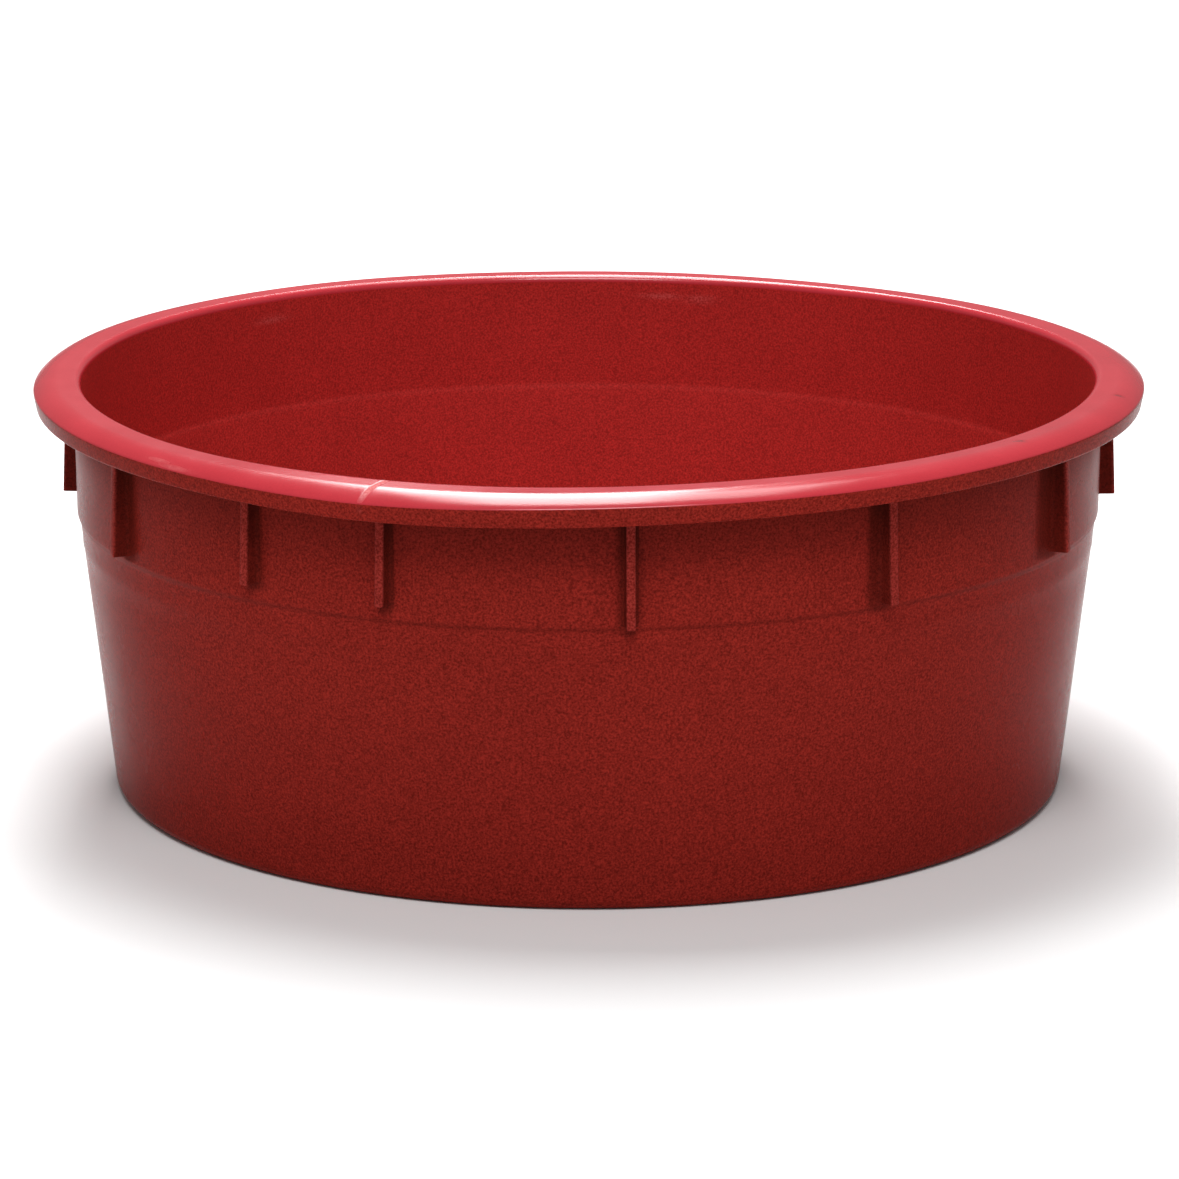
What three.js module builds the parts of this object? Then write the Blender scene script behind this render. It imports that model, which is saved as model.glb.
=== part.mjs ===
// Round mortar mixing tub: one tapered plastic moulding, built as its named features.
// Millimetres, +Z up, origin at the centre of the underside. Angles round the tub are in
// degrees from -Y towards +X, so the rib nearest to 0 faces -Y.
import * as THREE from 'three';

// Driving dimensions.
const RIM_RADIUS = 328;              // outside of the rim, its widest ring
const HEIGHT = 246;                  // underside to the top of the rim
const WALL = 4.2;                    // side wall, flange and lip
const FLOOR = 5;                     // floor of the tub
const SEAT_DEPTH = 0.3;              // the wall and the fillet stand this far below the floor's top
const CORNER_ROUND = 7.5;            // outer rounding between the underside and the lower wall
const INSIDE_ROUND = 8;              // fillet between the floor and the inside of the wall
const FILLET_GAP = 0.3;              // clearance between the fillet and the faceted wall
const FOOT_RADIUS = 284;             // where the lower wall's slope would meet the ground
const LOWER_TOP_RADIUS = 302.6;      // outside of the lower wall, just under the step
const LOWER_TOP = 158;               // height where the lower wall meets the upper wall
const STEP_HEIGHT = 166;             // middle of the small step round the outside
const STEP_RISE = 3;                 // height over which the outside steps
const STEP_OUT = 1.6;                // how far the outside steps out
const INSIDE_STEP_LIFT = 7;          // how much higher the step is on the inside
const BAND_DRAFT = 0.5;              // how much wider the upper wall is at its top
const MOUTH_ROUND = 4;               // rounding of the mouth's edge
const DOME_RADIUS = 20;              // the flange curves over towards its outer edge
const DOME_DEGREES = 46;             // and slopes this much where it meets the lip
const LIP_HEIGHT = 15.6;             // top of the rim to the lip's bottom edge
const LIP_DRAFT = 1.8;               // how far the lip leans in, down to its bottom edge
const SEGMENTS = 72;                 // facets round every ring
const ARC_STEPS = 4;                 // facets in each rounding

// Ribs: upright plates between the upper wall and the flange. Their spacing is uneven,
// and those of the front left end higher: [angle, height of the bottom edge].
const RIBS = [
  [4.3, 168], [32.5, 169.5], [60.7, 171.5], [88.8, 171.5], [114.5, 171], [140.2, 171],
  [165.9, 171], [-168.4, 171], [-142.7, 171], [-117, 171], [-91, 171], [-59.7, 171],
  [-37.4, 178], [-21.3, 177],
];
const RIB_THICKNESS = 5;
const RIB_OUTSIDE_TOP = 311;
const RIB_OUTSIDE_BOTTOM = 314;
const RIB_GAP = 0.3;                 // clearance between a rib and the faceted wall

const WALL_LOOK = { color: 0x7a201a, roughness: 0.55, metalness: 0 };
const RIM_LOOK = { color: 0xa8323a, roughness: 0.4, metalness: 0 };

// The lower wall's slope, as radius gained per unit of height.
const stepBottom = STEP_HEIGHT - STEP_RISE / 2;
const stepTop = STEP_HEIGHT + STEP_RISE / 2;
const slope = (LOWER_TOP_RADIUS - FOOT_RADIUS) / stepBottom;
const slopeLength = Math.hypot(1, slope);
const slopeDegrees = THREE.MathUtils.radToDeg(Math.atan(slope));
const insideFoot = FOOT_RADIUS - WALL * slopeLength;

// The outer rounding at the foot: its centre, and its angle where the floor disc ends.
const seat = FLOOR - SEAT_DEPTH;
const cornerCentre = FOOT_RADIUS + CORNER_ROUND * (slope - slopeLength);
const seatDegrees = THREE.MathUtils.radToDeg(Math.asin(seat / CORNER_ROUND - 1));

// The inside fillet: where it meets the wall's slope, and the centre of its rounding.
const filletTop = FLOOR + INSIDE_ROUND;
const filletFoot = insideFoot - FILLET_GAP;
const filletCentre = filletFoot + slope * filletTop - INSIDE_ROUND * slopeLength;

// The upper wall, nearly upright, from the step to the underside of the flange.
const bandBottom = LOWER_TOP_RADIUS + STEP_OUT;
const bandTop = bandBottom + BAND_DRAFT;
const flangeBottom = HEIGHT - WALL;
const mouthRadius = bandTop - WALL;
const lipBottom = HEIGHT - LIP_HEIGHT;

// The dome: an arc that starts level where the flat flange ends.
const domeRadians = THREE.MathUtils.degToRad(DOME_DEGREES);
const domeStart = RIM_RADIUS - DOME_RADIUS * Math.sin(domeRadians);
const domeCentre = HEIGHT - DOME_RADIUS;

const group = new THREE.Group();

function addMesh(name, geometry, look) {
  const mesh = new THREE.Mesh(geometry, new THREE.MeshStandardMaterial(look));
  mesh.name = name;
  group.add(mesh);
  return mesh;
}

// Outside and inside of the sloping lower wall at a height.
function outside(height) {
  return [FOOT_RADIUS + slope * height, height];
}

function inside(height) {
  return [insideFoot + slope * height, height];
}

// Points of an arc in the radius-height plane, from one angle to another in degrees.
function arc(radius, height, round, fromDegrees, toDegrees) {
  const points = [];
  for (let step = 0; step <= ARC_STEPS; step += 1) {
    const degrees = fromDegrees + ((toDegrees - fromDegrees) * step) / ARC_STEPS;
    const angle = THREE.MathUtils.degToRad(degrees);
    points.push([radius + round * Math.cos(angle), height + round * Math.sin(angle)]);
  }
  return points;
}

// A solid turned about Z. The outline is [radius, height] pairs, anticlockwise.
function turned(outline) {
  const profile = outline.map(([radius, height]) => new THREE.Vector2(radius, height));
  const geometry = new THREE.LatheGeometry(profile, SEGMENTS);
  geometry.rotateX(Math.PI / 2);
  return geometry;
}

// A ring turned about Z, whose outline closes on itself.
function ring(outline) {
  return turned([...outline, outline[0]]);
}

// The floor disc, with the start of the outer rounding and a shallow seat round its top.
function floorDisc() {
  return turned([
    [0, 0],
    ...arc(cornerCentre, CORNER_ROUND, CORNER_ROUND, -90, seatDegrees),
    [filletCentre, seat],
    [filletCentre, FLOOR],
    [0, FLOOR],
  ]);
}

// The lower wall stands on the floor's seat and ends the outer rounding.
function lowerWall() {
  return ring([
    ...arc(cornerCentre, CORNER_ROUND, CORNER_ROUND, seatDegrees, -slopeDegrees),
    outside(LOWER_TOP),
    inside(LOWER_TOP),
    inside(seat),
  ]);
}

// The fillet that rounds the corner between the floor and the inside of the wall.
function insideFillet() {
  return ring([
    [filletFoot + slope * seat, seat],
    ...arc(filletCentre, filletTop, INSIDE_ROUND, -slopeDegrees, -90),
    [filletCentre, seat],
  ]);
}

// The upper wall, with the step low on its outside and a little higher on its inside.
function upperWall() {
  return ring([
    outside(LOWER_TOP),
    outside(stepBottom),
    [bandBottom, stepTop],
    [bandTop, flangeBottom],
    [mouthRadius, flangeBottom],
    [bandBottom - WALL, stepTop + INSIDE_STEP_LIFT],
    inside(stepBottom + INSIDE_STEP_LIFT),
    inside(LOWER_TOP),
  ]);
}

// The level flange, rounded at the mouth, as far out as the dome.
function rimFlange() {
  const roundHeight = HEIGHT - MOUTH_ROUND;
  return ring([
    [mouthRadius, flangeBottom],
    [domeStart, flangeBottom],
    [domeStart, HEIGHT],
    ...arc(mouthRadius + MOUTH_ROUND, roundHeight, MOUTH_ROUND, 90, 180),
  ]);
}

// The domed outer part of the flange, and the lip turned down from its edge.
function rimLip() {
  const edgeDegrees = 90 - DOME_DEGREES;
  return ring([
    ...arc(domeStart, domeCentre, DOME_RADIUS - WALL, 90, edgeDegrees),
    [RIM_RADIUS - WALL - LIP_DRAFT, lipBottom],
    [RIM_RADIUS - LIP_DRAFT, lipBottom],
    ...arc(domeStart, domeCentre, DOME_RADIUS, edgeDegrees, 90),
  ]);
}

// One rib: an upright plate whose outer edge flares a little towards its bottom.
function ribPlate(bottom) {
  const shape = new THREE.Shape();
  shape.moveTo(bandBottom + RIB_GAP, bottom);
  shape.lineTo(RIB_OUTSIDE_BOTTOM, bottom);
  shape.lineTo(RIB_OUTSIDE_TOP, flangeBottom);
  shape.lineTo(bandTop + RIB_GAP, flangeBottom);
  shape.closePath();
  const geometry = new THREE.ExtrudeGeometry(shape, { depth: RIB_THICKNESS, bevelEnabled: false });
  geometry.translate(0, 0, -RIB_THICKNESS / 2);
  geometry.rotateX(Math.PI / 2);
  return geometry;
}

addMesh('tub_floor', floorDisc(), WALL_LOOK);
addMesh('inside_fillet', insideFillet(), WALL_LOOK);
addMesh('lower_wall', lowerWall(), WALL_LOOK);
addMesh('upper_wall', upperWall(), WALL_LOOK);
addMesh('rim_flange', rimFlange(), RIM_LOOK);
addMesh('rim_lip', rimLip(), RIM_LOOK);

RIBS.forEach(([degrees, bottom], index) => {
  const name = `rib_${String(index + 1).padStart(2, '0')}`;
  const rib = addMesh(name, ribPlate(bottom), WALL_LOOK);
  rib.rotation.z = THREE.MathUtils.degToRad(degrees - 90);
});

export default group;
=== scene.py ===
"""Studio picture of a round mortar mixing tub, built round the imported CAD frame. Metres, +Z up.

Angles round the tub go from -Y, the side that faces the camera, towards +X. Among the sizes they
are in degrees, unless a comment says radians. Inside the functions they are in radians, and one
in degrees is called that.
"""

import math

import bpy
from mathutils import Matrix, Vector


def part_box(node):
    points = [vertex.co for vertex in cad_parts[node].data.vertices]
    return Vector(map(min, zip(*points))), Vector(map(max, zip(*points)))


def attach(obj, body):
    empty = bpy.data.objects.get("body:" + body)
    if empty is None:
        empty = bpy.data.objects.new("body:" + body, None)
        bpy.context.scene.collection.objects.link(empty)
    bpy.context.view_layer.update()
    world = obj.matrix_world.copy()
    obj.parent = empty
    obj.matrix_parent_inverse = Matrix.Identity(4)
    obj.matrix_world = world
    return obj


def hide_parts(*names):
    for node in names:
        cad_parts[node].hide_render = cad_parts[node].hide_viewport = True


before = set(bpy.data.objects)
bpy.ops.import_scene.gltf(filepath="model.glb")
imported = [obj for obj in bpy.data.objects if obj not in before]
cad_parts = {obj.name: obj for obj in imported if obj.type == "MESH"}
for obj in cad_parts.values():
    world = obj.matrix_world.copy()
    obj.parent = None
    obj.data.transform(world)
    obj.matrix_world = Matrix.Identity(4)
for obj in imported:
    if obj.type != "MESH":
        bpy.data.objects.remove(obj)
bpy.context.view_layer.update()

MM = 0.001

# ------------------------------------------------------------------ sizes, from the frame
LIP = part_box("rim_lip")
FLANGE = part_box("rim_flange")
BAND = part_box("upper_wall")
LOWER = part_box("lower_wall")
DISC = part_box("tub_floor")
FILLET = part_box("inside_fillet")
RIB_NAMES = sorted(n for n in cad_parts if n.startswith("rib_"))

RIM_RADIUS = LIP[1].x
HEIGHT = LIP[1].z
LIP_BOTTOM = LIP[0].z
FLANGE_BOTTOM = FLANGE[0].z
DOME_START = FLANGE[1].x        # the flange is flat as far out as this
BAND_TOP = BAND[1].x            # the upper wall's outside, at its top
LOWER_TOP = LOWER[1].z
FLOOR = DISC[1].z
WALL = HEIGHT - FLANGE_BOTTOM

# ------------------------------------------------------------------ sizes of the moulding
FOOT_RADIUS = 284 * MM          # where the lower wall's slope would meet the ground
STEP_HEIGHT = 166 * MM          # middle of the small step round the outside
STEP_RISE = 3 * MM              # height over which the outside steps
STEP_OUT = 1.6 * MM             # how far it steps out
INSIDE_STEP_LIFT = 7 * MM       # how much higher the step is on the inside
BAND_DRAFT = 0.5 * MM           # how much wider the upper wall is at its top
CORNER_ROUND = 7.5 * MM         # between the underside and the lower wall
DOME_ROUND = 20 * MM            # the rim's outer part curves over to a crisp edge
CREASE = 2.5                    # degrees of the dome that the crisp edge rounds off
LIP_DRAFT = 1.8 * MM            # how far the lip leans in, down to its bottom edge
MOUTH_ROUND = 4 * MM            # rounding of the mouth's edge
EDGE_ROUND = 1.2 * MM           # of the lip's bottom edge and the upper wall's bends
BEAD_BOTTOM = 148 * MM          # faint line below the step
BEAD_PEAK = 149.4 * MM
BEAD_TOP = 154 * MM
BEAD_OUT = 0.35 * MM            # how far it stands out
SINK = 0.2 * MM                 # how far the fillet runs into the wall and the floor

RIB_OUTSIDE_TOP = 311 * MM
RIB_OUTSIDE_BOTTOM = 314 * MM
RIB_HALF = 2.5 * MM             # half the rib's thickness at its outer edge
RIB_DRAFT = 0.35 * MM           # extra half thickness at its root
RIB_ROUND = 0.7 * MM            # of its outer edges and its foot
RIB_FOOT = [(0, -1), (0.2, -0.4), (1, 0)]  # rise and growth of the foot's levels, in RIB_ROUNDs
ROOT_ROUND = 2.2 * MM           # between the rib and the wall
ROOT_SINK = 0.8 * MM            # how far the root reaches into the wall
TOP_SINK = 0.5 * MM             # and the top into the flange
DRAFT_END = 1.8 * MM            # this far in from its outer edge,
DRAFT_LEFT = 0.1                # this share of the draft is left

# ------------------------------------------------------------------ how fine the meshes are
SEGMENTS = 540
FINER = 8                       # steps in each segment near a mark on the rim
MARKED_REACH = 2.2              # degrees on either side of a mark with finer steps
ARC_STEPS = 10
SOFT_STEPS = 4                  # of a softened corner
FLANGE_STEPS = 12               # of the flange's flat top
DOME_STEPS = 24
WALL_STEP = 12 * MM             # longest step of an outline up the lower wall
BAND_STEP = 3 * MM              # and up the upper wall and the lip
ROOT_STEPS = 5                  # of the rounding at a rib's root
TIP_STEPS = 4                   # and at its outer edge
RIB_LEVELS = 14
SHARP_ANGLE = math.radians(35)

# ------------------------------------------------------------------ how the moulding has settled
# Waves: how many go round the tub, and the sizes of their sine and cosine.
LIFT = 1.3 * MM                 # how much higher the rim is, on average
LIFT_WAVES = [(1, 0.9 * MM, 0), (2, 1.4 * MM, -1.5 * MM), (9, 0.15 * MM, 0)]
WIDEN = 1.1 * MM                # how much further out the rim's edge is, on average
WIDEN_WAVES = [(1, 0.5 * MM, 0), (2, 0.6 * MM, 0), (7, 0.1 * MM, 0)]

# Sags: how deep, at which angle, and over how many degrees they fade.
EDGE_SAG = (2.5 * MM, -23, 16)  # of the rim's outer edge
MOUTH_SAG = (1.6 * MM, 52, 19)  # of the mouth's edge
LIP_SAG = (1.3 * MM, -5, 22)    # of the lip's bottom edge, where the lip is taller

# ------------------------------------------------------------------ marks on the rim
NICK_ANGLE = -20.9              # where the nick starts, at the mouth
NICK_TURN = -1.2                # further round where it ends, at the outer edge
NICK_DEPTH = 0.3 * MM
NICK_HALF = 2.2 * MM            # half its width
NICK_START = 4                  # how steeply it gets deeper, from the mouth
NICK_END = 3                    # and shallower, up to the outer edge
DIMPLES = [(50, 314 * MM), (74.5, 318 * MM)]  # angle and radius
DIMPLE_DEPTH = 0.12 * MM
DIMPLE_RADIUS = 2.8 * MM
DIMPLE_END = 0.02               # a dimple ends at this share of its depth
SCUFFS = [                      # angle, height, half length and half height of pale rubs
    (166, 232 * MM, 9 * MM, 2 * MM),
    (171, 233 * MM, 12 * MM, 1.6 * MM),
    (-138, 231 * MM, 11 * MM, 1.8 * MM),
    (-44.5, 241.5 * MM, 11 * MM, 0.9 * MM),
    (-47, 242.8 * MM, 8 * MM, 0.7 * MM),
]

# ------------------------------------------------------------------ painted shade, rubs and painted light, from 0 to 1
# painted shade in the dimples on the rim
DIMPLE_SHADE = 0.45
FLANGE_SHADE = 0.5               # painted shadow of the rim, right under the flange
FLANGE_SHADE_DOWN = 50 * MM      # how far down it fades out
STEP_SHADE = 0.3                 # painted shade along the step
STEP_SHADE_HALF = 1.2 * MM       # how far it fades above and below the step
RIB_SHADE = 0.55                 # painted shade beside a rib and below it
RIB_SHADE_UP = 0.4               # and this much more right under the flange
RIB_SHADE_REACH = 3 * MM         # how far it reaches beside a rib
SHADED_RIGHT = 22 * MM          # and further on the -Y side of a rib at 90 degrees
SHADED_LEFT = 14 * MM           # and of a rib at -90 degrees
RIB_SHADE_BELOW = 7 * MM         # how far it reaches below a rib at 0 or 180 degrees
RIB_SHADE_LEAST = 0.4            # share of that below a rib at 90 or -90 degrees
RIB_SHADE_END = 1.2              # it ends at this many times its reach
RIB_SHADE_FADE = 0.5             # and fades out over this many
RIB_SHADE_TURN = 0.2             # radians from a rib, past which there is none
TIP_UNSHADED = 1.5 * MM            # all painted shade fades out this close to a rib's outer edge
NICK_RUB = 1.6                  # above 1, so that the rub is full across most of the nick
SCUFF_RUB = 0.45
TIP_PAINTED_LIGHT = 0.08                  # painted light: paler along a rib's outer edge
TIP_PAINTED_LIGHT_DEPTH = 1.2 * MM

# ------------------------------------------------------------------ sizes that follow
STEP_BOTTOM = STEP_HEIGHT - STEP_RISE / 2
STEP_TOP = STEP_HEIGHT + STEP_RISE / 2
BAND_BOTTOM = BAND_TOP - BAND_DRAFT
MOUTH_RADIUS = BAND_TOP - WALL
SLOPE = (BAND_BOTTOM - STEP_OUT - FOOT_RADIUS) / STEP_BOTTOM
SLOPE_LENGTH = math.hypot(1, SLOPE)
SLOPE_DEGREES = math.degrees(math.atan(SLOPE))
INSIDE_FOOT = FOOT_RADIUS - WALL * SLOPE_LENGTH
CORNER_CENTRE = FOOT_RADIUS + CORNER_ROUND * (SLOPE - SLOPE_LENGTH)
FLOOR_DEGREES = math.degrees(math.asin(FLOOR / CORNER_ROUND - 1))  # of the corner, at the floor
DOME_CENTRE = HEIGHT - DOME_ROUND
DOME_DEGREES = math.degrees(math.asin((RIM_RADIUS - DOME_START) / DOME_ROUND))
LIP_TOP = DOME_CENTRE + DOME_ROUND * math.cos(math.radians(DOME_DEGREES))
LIP_INSIDE = RIB_OUTSIDE_BOTTOM + 2 * MM  # only the lip and its dome are further out
MARKS_INSIDE = MOUTH_RADIUS + MM          # the marks end at this radius
MARKS_BOTTOM = LIP_BOTTOM + 6 * MM        # and at this height
SHADE_INSIDE = BAND_BOTTOM - 2 * MM        # the painted shade outside ends at this radius
SHADE_BOTTOM = STEP_BOTTOM - RIB_SHADE_BELOW  # and at these heights
SHADE_TOP = FLANGE_BOTTOM + MM


# ------------------------------------------------------------------ outlines
def outside(height):
    """Point of the lower wall's outside at a height."""
    return (FOOT_RADIUS + SLOPE * height, height)


def inside(height):
    """Point of the lower wall's inside at a height."""
    return (INSIDE_FOOT + SLOPE * height, height)


def on_circle(radius, height, rounding, degrees):
    """Point of a circle in the radius-height plane, from its centre and its own radius."""
    angle = math.radians(degrees)
    return (radius + rounding * math.cos(angle), height + rounding * math.sin(angle))


def arc(radius, height, rounding, start, end, steps=ARC_STEPS):
    """Points of that circle, evenly spaced between two angles in degrees."""
    stops = [start + (end - start) * i / steps for i in range(steps + 1)]
    return [on_circle(radius, height, rounding, degrees) for degrees in stops]


def rounded(corner, before, after, rounding):
    """A soft corner: a curve from just before the corner to just after it."""
    corner = Vector(corner)
    start = corner + (Vector(before) - corner).normalized() * rounding
    end = corner + (Vector(after) - corner).normalized() * rounding
    points = []
    for i in range(SOFT_STEPS + 1):
        t = i / SOFT_STEPS
        point = start * (1 - t) ** 2 + corner * 2 * t * (1 - t) + end * t * t
        points.append((point.x, point.y))
    return points


def softened(points, rounding):
    """An open line whose corners are rounded, apart from its two ends."""
    soft = [points[0]]
    for before, corner, after in zip(points, points[1:], points[2:]):
        soft += rounded(corner, before, after, rounding)
    soft.append(points[-1])
    return soft


def divided(start, end, pieces):
    """Evenly spaced points from start up to, but not with, end."""
    return [
        (start[0] + (end[0] - start[0]) * i / pieces, start[1] + (end[1] - start[1]) * i / pieces)
        for i in range(pieces)
    ]


def filled(points, spacing):
    """The same open line with points added, so that none are further apart than the spacing."""
    full = []
    for start, end in zip(points, points[1:]):
        length = math.hypot(end[0] - start[0], end[1] - start[1])
        full += divided(start, end, max(1, math.ceil(length / spacing)))
    full.append(points[-1])
    return full


def band_radius(height):
    """Radius of the upper wall's outside at a height."""
    share = (height - STEP_TOP) / (FLANGE_BOTTOM - STEP_TOP)
    return BAND_BOTTOM + BAND_DRAFT * share


def rib_tip(height):
    """Radius of a rib's outer face: it flares a little towards the bottom."""
    share = (height - STEP_TOP) / (FLANGE_BOTTOM - STEP_TOP)
    return RIB_OUTSIDE_BOTTOM + (RIB_OUTSIDE_TOP - RIB_OUTSIDE_BOTTOM) * share


def rib_place(name):
    """A rib's angle and the height where it ends, from the frame."""
    low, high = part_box(name)
    middle = (low + high) / 2
    return math.atan2(middle.x, -middle.y), low.z


RIBS = [rib_place(name) for name in RIB_NAMES]


# ------------------------------------------------------------------ the moulding's own shape
def turn_between(angle, other):
    """The signed turn from one angle to another, the short way round."""
    return (angle - other + math.pi) % (2 * math.pi) - math.pi


def smooth(share):
    """A soft ramp from 0 to 1, for a share that may go past either end."""
    share = max(0, min(1, share))
    return share * share * (3 - 2 * share)


def waved(angle, average, waves):
    """A measure that rises and falls round the tub."""
    for times, sine, cosine in waves:
        average += sine * math.sin(times * angle) + cosine * math.cos(times * angle)
    return average


def sag(angle, depth, degrees, spread):
    """How deep a sag is at an angle."""
    off = turn_between(angle, math.radians(degrees)) / math.radians(spread)
    return depth * math.exp(-off * off)


def marks(point):
    """How deep the nick and the dimples press into the rim at a point."""
    x, y, z = point
    radius = math.hypot(x, y)
    if z < MARKS_BOTTOM or radius < MARKS_INSIDE:
        return 0.0, 0.0
    angle = math.atan2(x, -y)
    across = (radius - MOUTH_RADIUS) / (RIM_RADIUS - MOUTH_RADIUS)
    nick = math.radians(NICK_ANGLE + NICK_TURN * across)
    off = turn_between(angle, nick) * radius / NICK_HALF
    ends = max(0, min(1, NICK_START * across, NICK_END * (1 - across)))
    dimple = 0.0
    for degrees, place in DIMPLES:
        side = turn_between(angle, math.radians(degrees)) * radius
        near = math.hypot(side, radius - place) / DIMPLE_RADIUS
        dimple += DIMPLE_DEPTH * math.exp(-near * near)
    return NICK_DEPTH * max(0, 1 - off * off) * ends, dimple


def settle(point):
    """A big thin moulding is never quite round or level: a few millimetres, most at the rim."""
    x, y, z = point
    angle = math.atan2(x, -y)
    radius = max(math.hypot(x, y), MM)
    share = (z / HEIGHT) ** 3 * radius / RIM_RADIUS
    reach = max(0, (radius - BAND_TOP) / (RIM_RADIUS - BAND_TOP))
    sunk = sag(angle, *EDGE_SAG) * reach + sag(angle, *MOUTH_SAG) * share * (1 - reach)
    if radius > LIP_INSIDE:
        down = max(0, (LIP_TOP - z) / (LIP_TOP - LIP_BOTTOM))
        sunk += sag(angle, *LIP_SAG) * down
    height = z + waved(angle, LIFT, LIFT_WAVES) * share - sunk - sum(marks(point))
    scale = 1 + waved(angle, WIDEN, WIDEN_WAVES) * reach / radius
    return (x * scale, y * scale, height)


def rib_painted_shade(angle, radius, height, rib_angle, rib_bottom):
    """Share of the painted shade beside and below a rib at a point, which reaches further out on
    the side that faces -Y.
    """
    turn = turn_between(angle, rib_angle)
    if abs(turn) > RIB_SHADE_TURN:
        return 0.0
    across = math.sin(rib_angle)
    reach = RIB_SHADE_REACH
    if turn * across < 0:
        reach += SHADED_RIGHT * across ** 2 if across > 0 else SHADED_LEFT * across ** 4
    drop = RIB_SHADE_BELOW * max(RIB_SHADE_LEAST, abs(math.cos(rib_angle)))
    side = max(0, abs(turn) * radius - RIB_HALF) / reach
    below = max(0, rib_bottom - height) / drop
    return smooth((RIB_SHADE_END - math.hypot(side, below)) / RIB_SHADE_FADE)


def painted_shading(point):
    """Painted shade in the dimples, beside and below the ribs, along the step and up under the
    flange.
    """
    x, y, z = point
    _, dimple = marks(point)
    # painted shade in the dimples
    if dimple > DIMPLE_END * DIMPLE_DEPTH:
        return DIMPLE_SHADE * dimple / DIMPLE_DEPTH
    radius = math.hypot(x, y)
    if radius < SHADE_INSIDE or z < SHADE_BOTTOM or z > SHADE_TOP:
        return 0.0
    angle = math.atan2(x, -y)
    # painted shadow of the rim on the upper wall, fading downwards
    under_flange = smooth(1 - (FLANGE_BOTTOM - z) / FLANGE_SHADE_DOWN)
    # painted shade beside and below the ribs
    beside = max(rib_painted_shade(angle, radius, z, *rib) for rib in RIBS)
    beside *= RIB_SHADE + RIB_SHADE_UP * under_flange
    # painted shade along the step
    on_step = STEP_SHADE * math.exp(-((z - STEP_HEIGHT) / STEP_SHADE_HALF) ** 2)
    off_tip = max(0, min(1, (rib_tip(z) - radius) / TIP_UNSHADED))
    return max(FLANGE_SHADE * under_flange, beside, on_step) * off_tip


def rubs_and_painted_light(point):
    """Pale rubs on a few scuffs and the nick, and painted light: a paler strip along the ribs'
    outer edges.
    """
    x, y, z = point
    radius = math.hypot(x, y)
    angle = math.atan2(x, -y)
    nick, _ = marks(point)
    amount = min(1, NICK_RUB * nick / NICK_DEPTH)
    for degrees, height, half_length, half_height in SCUFFS:
        along = turn_between(angle, math.radians(degrees)) * radius / half_length
        up = (z - height) / half_height
        amount = max(amount, SCUFF_RUB * math.exp(-along * along - up * up))
    tip = rib_tip(z)
    if z < FLANGE_BOTTOM - MM and tip - TIP_PAINTED_LIGHT_DEPTH < radius < tip + MM:
        amount = max(amount, TIP_PAINTED_LIGHT)
    return amount


# ------------------------------------------------------------------ meshes
def finish_mesh(name, vertices, faces, materials, slots):
    """A piece from its points and faces, with the painted shade, rubs and painted light that its
    material reads.
    """
    mesh = bpy.data.meshes.new(name)
    mesh.from_pydata([settle(v) for v in vertices], [], faces)
    for label, amount in (("painted_shade", painted_shading), ("rub_and_painted_light", rubs_and_painted_light)):
        values = mesh.attributes.new(label, "FLOAT", "POINT")
        values.data.foreach_set("value", [amount(v) for v in vertices])
    for material in materials:
        mesh.materials.append(material)
    mesh.polygons.foreach_set("material_index", slots)
    mesh.polygons.foreach_set("use_smooth", [True] * len(mesh.polygons))
    mesh.set_sharp_from_angle(angle=SHARP_ANGLE)
    piece = bpy.data.objects.new(name, mesh)
    bpy.context.scene.collection.objects.link(piece)
    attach(piece, "root")
    return piece


def ring_angles():
    """Even steps all round, with finer ones near the marks on the rim."""
    marked = [NICK_ANGLE + NICK_TURN / 2] + [degrees for degrees, _ in DIMPLES]
    steps = SEGMENTS * FINER
    angles = []
    for i in range(steps):
        angle = 2 * math.pi * i / steps
        offs = [abs(math.degrees(turn_between(angle, math.radians(mark)))) for mark in marked]
        if i % FINER == 0 or min(offs) < MARKED_REACH:
            angles.append(angle)
    return angles


ANGLES = ring_angles()


def turned(name, runs):
    """A solid turned about Z. Each run is a material and its part of the anticlockwise outline,
    which closes on itself or starts and ends on the axis."""
    outline = []
    point_slots = []
    for slot, (_, points) in enumerate(runs):
        outline += points
        point_slots += [slot] * len(points)
    on_axis = outline[0][0] == 0
    rings = outline[1:-1] if on_axis else outline
    ring_slots = point_slots[1:-1] if on_axis else point_slots
    vertices = []
    for angle in ANGLES:
        vertices += [(r * math.sin(angle), -r * math.cos(angle), z) for r, z in rings]
    count = len(rings)
    last = count - 1 if on_axis else count
    faces = []
    slots = []
    for i in range(len(ANGLES)):
        here = i * count
        there = (i + 1) % len(ANGLES) * count
        for j in range(last):
            k = (j + 1) % count
            faces.append((here + j, there + j, there + k, here + k))
            slots.append(ring_slots[j])
    if on_axis:
        low = len(vertices)
        high = low + 1
        vertices += [(0, 0, outline[0][1]), (0, 0, outline[-1][1])]
        for i in range(len(ANGLES)):
            here = i * count
            there = (i + 1) % len(ANGLES) * count
            faces.append((low, there, here))
            faces.append((high, here + last, there + last))
            slots += [point_slots[0], point_slots[-1]]
    return finish_mesh(name, vertices, faces, [material for material, _ in runs], slots)


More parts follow.
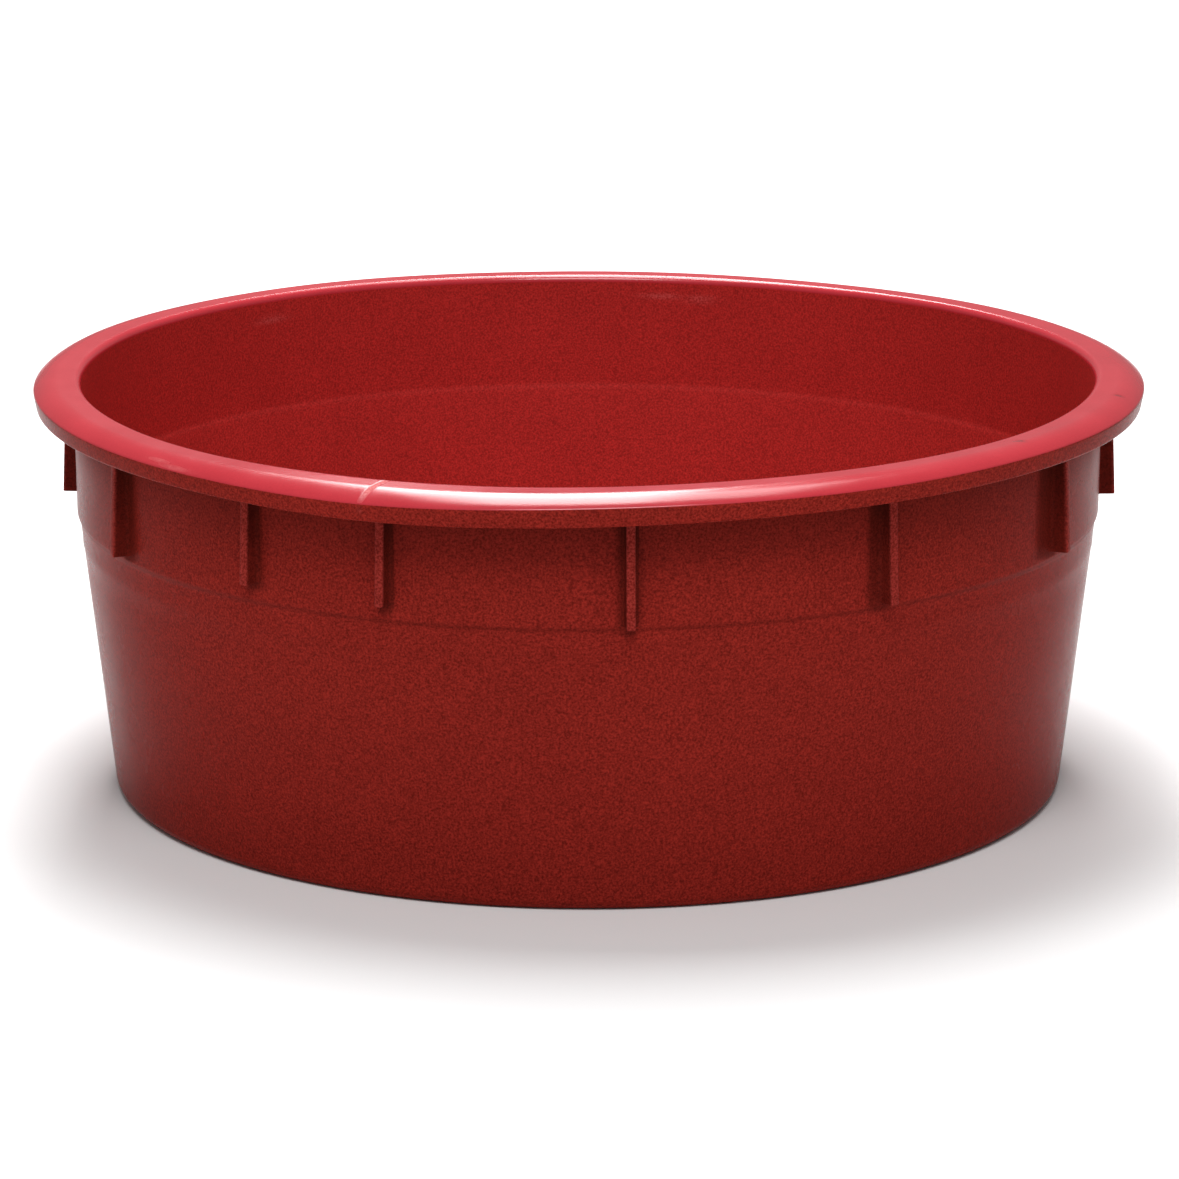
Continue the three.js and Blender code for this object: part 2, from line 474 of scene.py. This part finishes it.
# ------------------------------------------------------------------ materials
GRAIN_SCALE = 820               # fine moulded grain
CLOUD_SCALE = 26                # cloudy pigment
BROAD_SCALE = 4.5               # broad unevenness of the colour
GRAIN_RANGE = (0.35, 0.65)      # the part of the grain's noise that is stretched out
CLOUD_RANGE = (0.3, 0.7)        # and of the two coarser ones
STREAK_RANGE = (0.42, 0.62)     # and of the grain's again, for the streaks in a rub
CLOUD_SWING = 0.035             # how far the pigment swings the colour
BROAD_SWING = 0.05
STREAKS = (0.15, 0.8)           # how much of a full rub shows between the streaks and in them
SHINIER = 0.03                  # how far the pigment swings the roughness, down
DULLER = 0.04                   # and up
RUB_DULLS = 0.6                 # roughness added by a full rub
GRAIN_DEPTH = 0.12 * MM
# pale red of the rubs, and of the painted light along the ribs' outer edges
SCUFF = (0.62, 0.20, 0.19, 1)
# dark red of the painted shade
PAINTED_SHADE_RED = (0.030, 0.005, 0.003, 1)


def node(tree, kind, **values):
    """A new node, with each value set on its socket of that name, or else on the node."""
    made = tree.nodes.new(kind)
    for key, value in values.items():
        if key in made.inputs:
            made.inputs[key].default_value = value
        else:
            setattr(made, key, value)
    return made


def feed(tree, socket, value):
    """Link a node's output to a socket, or set the socket to a plain value."""
    if isinstance(value, bpy.types.NodeSocket):
        tree.links.new(value, socket)
    else:
        socket.default_value = value


def noise(tree, coordinates, scale, detail, rough=0.5):
    made = node(tree, "ShaderNodeTexNoise", Scale=scale, Detail=detail, Roughness=rough)
    feed(tree, made.inputs["Vector"], coordinates)
    return made.outputs["Fac"]


def remap(tree, value, span, to_low, to_high):
    made = node(tree, "ShaderNodeMapRange")
    made.inputs["From Min"].default_value = span[0]
    made.inputs["From Max"].default_value = span[1]
    made.inputs["To Min"].default_value = to_low
    made.inputs["To Max"].default_value = to_high
    feed(tree, made.inputs["Value"], value)
    return made.outputs["Result"]


def mix(tree, factor, first, second, blend="MIX"):
    """Two colours mixed. The node has a set of inputs for each data type, so they go by number."""
    made = node(tree, "ShaderNodeMix", data_type="RGBA", blend_type=blend)
    feed(tree, made.inputs[0], factor)
    feed(tree, made.inputs[6], first)
    feed(tree, made.inputs[7], second)
    return made.outputs[2]


def maths(tree, operation, first, second):
    made = node(tree, "ShaderNodeMath", operation=operation)
    feed(tree, made.inputs[0], first)
    feed(tree, made.inputs[1], second)
    return made.outputs[0]


def attribute(tree, name):
    return node(tree, "ShaderNodeAttribute", attribute_name=name).outputs["Fac"]


def plastic(name, red, roughness, grain, ior, bumps, shade_dulls):
    """Red polyethylene: fine moulded grain, slightly cloudy pigment, painted shade, pale rubs and
    painted light.
    """
    material = bpy.data.materials.new(name)
    material.use_nodes = True
    tree = material.node_tree
    shader = tree.nodes["Principled BSDF"]
    shader.inputs["IOR"].default_value = ior
    painted_shade = attribute(tree, "painted_shade")
    rub_and_painted_light = attribute(tree, "rub_and_painted_light")

    coordinates = node(tree, "ShaderNodeTexCoord").outputs["Object"]
    fine = noise(tree, coordinates, GRAIN_SCALE, detail=3, rough=0.6)
    cloud = noise(tree, coordinates, CLOUD_SCALE, detail=4, rough=0.55)
    broad = noise(tree, coordinates, BROAD_SCALE, detail=3)

    colour = red
    swings = (
        (fine, GRAIN_RANGE, grain),
        (cloud, CLOUD_RANGE, CLOUD_SWING),
        (broad, CLOUD_RANGE, BROAD_SWING),
    )
    for value, span, swing in swings:
        shade = remap(tree, value, span, 1 - swing, 1 + swing)
        colour = mix(tree, 1.0, colour, shade, "MULTIPLY")
    # painted shade: darker red beside and below the ribs, along the step, under the flange and in
    # the dimples
    colour = mix(tree, painted_shade, colour, PAINTED_SHADE_RED)
    streaks = remap(tree, fine, STREAK_RANGE, *STREAKS)
    # pale rubs, and painted light along the ribs' outer edges
    colour = mix(tree, maths(tree, "MULTIPLY", rub_and_painted_light, streaks), colour, SCUFF)
    feed(tree, shader.inputs["Base Color"], colour)

    rough = remap(tree, cloud, CLOUD_RANGE, roughness - SHINIER, roughness + DULLER)
    rough = maths(tree, "ADD", rough, maths(tree, "MULTIPLY", painted_shade, shade_dulls))
    rough = maths(tree, "ADD", rough, maths(tree, "MULTIPLY", rub_and_painted_light, RUB_DULLS))
    feed(tree, shader.inputs["Roughness"], rough)

    bump = node(tree, "ShaderNodeBump", Strength=bumps, Distance=GRAIN_DEPTH)
    feed(tree, bump.inputs["Height"], fine)
    feed(tree, shader.inputs["Normal"], bump.outputs["Normal"])
    return material


# One red plastic in three copies whose reds differ as painted light and shade: the inside and the
# rim's top are lighter than the outer wall.
WALL_PLASTIC = plastic(
    "grained_red_plastic",
    red=(0.22, 0.0158, 0.0105, 1),
    roughness=0.26,
    grain=0.42,
    ior=1.065,
    bumps=0.2,
    shade_dulls=0.6,
)
INSIDE_PLASTIC = plastic(
    "inside_red_plastic",
    # lighter red than the outer wall: painted light on the inside
    red=(0.40, 0.027, 0.024, 1),
    roughness=0.4,
    grain=0.3,
    ior=1.15,
    bumps=0.25,
    shade_dulls=0.6,
)
RIM_PLASTIC = plastic(
    "rim_red_plastic",
    # lighter red than the outer wall: painted light on the rim's top
    red=(0.46, 0.026, 0.038, 1),
    roughness=0.2,
    grain=0.04,
    ior=1.5,
    bumps=0.05,
    shade_dulls=0,
)


# ------------------------------------------------------------------ rings
def make_floor():
    under = [(0, 0)] + arc(CORNER_CENTRE, CORNER_ROUND, CORNER_ROUND, -90, FLOOR_DEGREES)
    over = [(CORNER_CENTRE, FLOOR), (0, FLOOR)]
    piece = turned("floor_moulded", [(WALL_PLASTIC, under), (INSIDE_PLASTIC, over)])
    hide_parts("tub_floor")


def make_fillet():
    top = FILLET[1].z
    rounding = top - FLOOR
    foot = INSIDE_FOOT + SINK
    centre = foot + SLOPE * top - rounding * SLOPE_LENGTH
    outline = [(foot + SLOPE * FLOOR, FLOOR - SINK)]
    outline += arc(centre, top, rounding, -SLOPE_DEGREES, -90)
    outline.append((centre, FLOOR - SINK))
    piece = turned("inside_fillet_moulded", [(INSIDE_PLASTIC, outline)])
    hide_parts("inside_fillet")


def make_lower_wall():
    corner = arc(CORNER_CENTRE, CORNER_ROUND, CORNER_ROUND, FLOOR_DEGREES, -SLOPE_DEGREES)
    peak = outside(BEAD_PEAK)
    outer = [
        corner[-1],
        outside(BEAD_BOTTOM),
        (peak[0] + BEAD_OUT, peak[1]),
        outside(BEAD_TOP),
        outside(LOWER_TOP),
    ]
    outer = corner[:-1] + filled(outer, WALL_STEP)
    inner = filled([inside(LOWER_TOP), inside(FLOOR)], WALL_STEP)
    piece = turned("lower_wall_moulded", [(WALL_PLASTIC, outer), (INSIDE_PLASTIC, inner)])
    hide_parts("lower_wall")


def make_upper_wall():
    outer = [
        outside(LOWER_TOP),
        outside(STEP_BOTTOM),
        (BAND_BOTTOM, STEP_TOP),
        (BAND_TOP, FLANGE_BOTTOM),
    ]
    inner = [
        (MOUTH_RADIUS, FLANGE_BOTTOM),
        (BAND_BOTTOM - WALL, STEP_TOP + INSIDE_STEP_LIFT),
        inside(STEP_BOTTOM + INSIDE_STEP_LIFT),
        inside(LOWER_TOP),
    ]
    outer = filled(softened(outer, EDGE_ROUND), BAND_STEP)
    inner = filled(softened(inner, EDGE_ROUND), BAND_STEP)
    piece = turned("upper_wall_moulded", [(WALL_PLASTIC, outer), (INSIDE_PLASTIC, inner)])
    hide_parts("upper_wall")


def make_flange():
    mouth_centre = MOUTH_RADIUS + MOUTH_ROUND
    under = [(MOUTH_RADIUS, FLANGE_BOTTOM), (DOME_START, FLANGE_BOTTOM)]
    over = divided((DOME_START, HEIGHT), (mouth_centre, HEIGHT), FLANGE_STEPS)
    over += arc(mouth_centre, HEIGHT - MOUTH_ROUND, MOUTH_ROUND, 90, 180)
    piece = turned("rim_flange_moulded", [(WALL_PLASTIC, under), (RIM_PLASTIC, over)])
    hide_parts("rim_flange")


def make_lip():
    edge = 90 - DOME_DEGREES
    corner = on_circle(DOME_START, DOME_CENTRE, DOME_ROUND, edge)
    dome = arc(DOME_START, DOME_CENTRE, DOME_ROUND, edge + CREASE, 90, DOME_STEPS)
    inner = (RIM_RADIUS - WALL - LIP_DRAFT, LIP_BOTTOM)
    outer = (RIM_RADIUS - LIP_DRAFT, LIP_BOTTOM)
    under = arc(DOME_START, DOME_CENTRE, DOME_ROUND - WALL, 90, edge)
    under += rounded(inner, under[-1], outer, EDGE_ROUND)
    under += rounded(outer, inner, corner, EDGE_ROUND)
    crease = rounded(corner, outer, dome[0], DOME_ROUND * math.radians(CREASE))
    face = filled([under[-1], crease[0]], BAND_STEP)[1:-1]
    runs = [(WALL_PLASTIC, under + face + crease[:2]), (RIM_PLASTIC, crease[2:-1] + dome)]
    piece = turned("rim_lip_moulded", runs)
    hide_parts("rim_lip")


# ------------------------------------------------------------------ ribs
def rib_section(root, tip):
    """Half of a rib's level section, as (radius, sideways), from the root to the tip."""
    side = RIB_HALF + RIB_DRAFT
    points = [(root - ROOT_SINK, side + ROOT_ROUND)]
    for i in range(ROOT_STEPS + 1):
        angle = math.radians(90 * i / ROOT_STEPS)
        out = root + ROOT_ROUND * (1 - math.cos(angle))
        points.append((out, side + ROOT_ROUND * (1 - math.sin(angle))))
    points.append((tip - DRAFT_END, RIB_HALF + DRAFT_LEFT * RIB_DRAFT))
    for i in range(TIP_STEPS + 1):
        angle = math.radians(90 * i / TIP_STEPS)
        out = tip - RIB_ROUND * (1 - math.sin(angle))
        points.append((out, RIB_HALF - RIB_ROUND * (1 - math.cos(angle))))
    return points


def make_rib(name):
    angle, bottom = rib_place(name)
    away = Vector((math.sin(angle), -math.cos(angle), 0))
    along = Vector((math.cos(angle), math.sin(angle), 0))
    foot = bottom + RIB_ROUND
    rise = FLANGE_BOTTOM + TOP_SINK - foot
    levels = [(bottom + up * RIB_ROUND, grow * RIB_ROUND) for up, grow in RIB_FOOT]
    levels += [(foot + rise * i / RIB_LEVELS, 0) for i in range(1, RIB_LEVELS + 1)]
    vertices = []
    for height, grow in levels:
        half = rib_section(band_radius(height), rib_tip(height) + grow)
        section = [(r, s + grow) for r, s in half]
        section += [(r, -s) for r, s in reversed(section)]
        for r, s in section:
            place = away * r + along * s
            vertices.append((place.x, place.y, height))
    count = len(vertices) // len(levels)
    faces = []
    for i in range(len(levels) - 1):
        here = i * count
        there = here + count
        for j in range(count):
            k = (j + 1) % count
            faces.append((here + k, here + j, there + j, there + k))
    faces.append(tuple(range(count)))
    faces.append(tuple(reversed(range(len(vertices) - count, len(vertices)))))
    piece = finish_mesh(name + "_moulded", vertices, faces, [WALL_PLASTIC], [0] * len(faces))
    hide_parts(name)


make_floor()
make_fillet()
make_lower_wall()
make_upper_wall()
make_flange()
make_lip()
for rib in RIB_NAMES:
    make_rib(rib)


# ------------------------------------------------------------------ studio
STUDIO_HALF = 14                # half the side of the studio's floor
STUDIO_WHITE = (0.9, 0.9, 0.9, 1)
STUDIO_ROUGHNESS = 0.9
SKY_STRENGTH = 0.22
LENS = 160.3                    # the camera's focal length, in millimetres
SENSOR = 36                     # and the width of its sensor, in millimetres
EYE = (0.001, -3.0585, 0.8901)
LOOK_DOWN = 14.28               # degrees


def studio_floor():
    mesh = bpy.data.meshes.new("studio_floor")
    far = STUDIO_HALF
    corners = [(-far, -far, 0), (far, -far, 0), (far, far, 0), (-far, far, 0)]
    mesh.from_pydata(corners, [], [(0, 1, 2, 3)])
    paint = bpy.data.materials.new("studio_white")
    paint.use_nodes = True
    shader = paint.node_tree.nodes["Principled BSDF"]
    shader.inputs["Base Color"].default_value = STUDIO_WHITE
    shader.inputs["Roughness"].default_value = STUDIO_ROUGHNESS
    mesh.materials.append(paint)
    floor = bpy.data.objects.new("studio_floor", mesh)
    bpy.context.scene.collection.objects.link(floor)


def softbox(name, place, aim, width, length, power):
    """A rectangular light that faces the point it is aimed at."""
    light = bpy.data.lights.new(name, "AREA")
    light.shape = "RECTANGLE"
    light.size = width
    light.size_y = length
    light.energy = power
    lamp = bpy.data.objects.new(name, light)
    lamp.location = place
    lamp.rotation_euler = (Vector(aim) - Vector(place)).to_track_quat("-Z", "Y").to_euler()
    bpy.context.scene.collection.objects.link(lamp)


def studio_light():
    """Two lights above the back, a fill above the front, and an even white sky."""
    world = bpy.data.worlds.new("studio")
    world.use_nodes = True
    sky = world.node_tree.nodes["Background"]
    sky.inputs["Color"].default_value = (1, 1, 1, 1)
    sky.inputs["Strength"].default_value = SKY_STRENGTH
    bpy.context.scene.world = world
    softbox(
        "skylight",
        place=(-0.19, 1.7, 2.45),
        aim=(-0.19, 1.7, 0),
        width=0.8,
        length=3.6,
        power=118,
    )
    softbox(
        "side_skylight",
        place=(0.46, 0.9, 2.45),
        aim=(0.46, 0.9, 0),
        width=0.5,
        length=1.6,
        power=13,
    )
    softbox(
        "front_fill",
        place=(0, -2, 2.8),
        aim=(0, 0.1, 0.15),
        width=1.6,
        length=1.2,
        power=58,
    )


def camera():
    """The view from a little above: a long lens, level, square to the tub's front."""
    data = bpy.data.cameras.new("camera")
    data.lens = LENS
    data.sensor_width = SENSOR
    eye = bpy.data.objects.new("camera", data)
    eye.location = EYE
    eye.rotation_euler = (math.radians(90 - LOOK_DOWN), 0, 0)
    bpy.context.scene.collection.objects.link(eye)
    bpy.context.scene.camera = eye


studio_floor()
studio_light()
camera()
bpy.context.scene.view_settings.view_transform = "Standard"
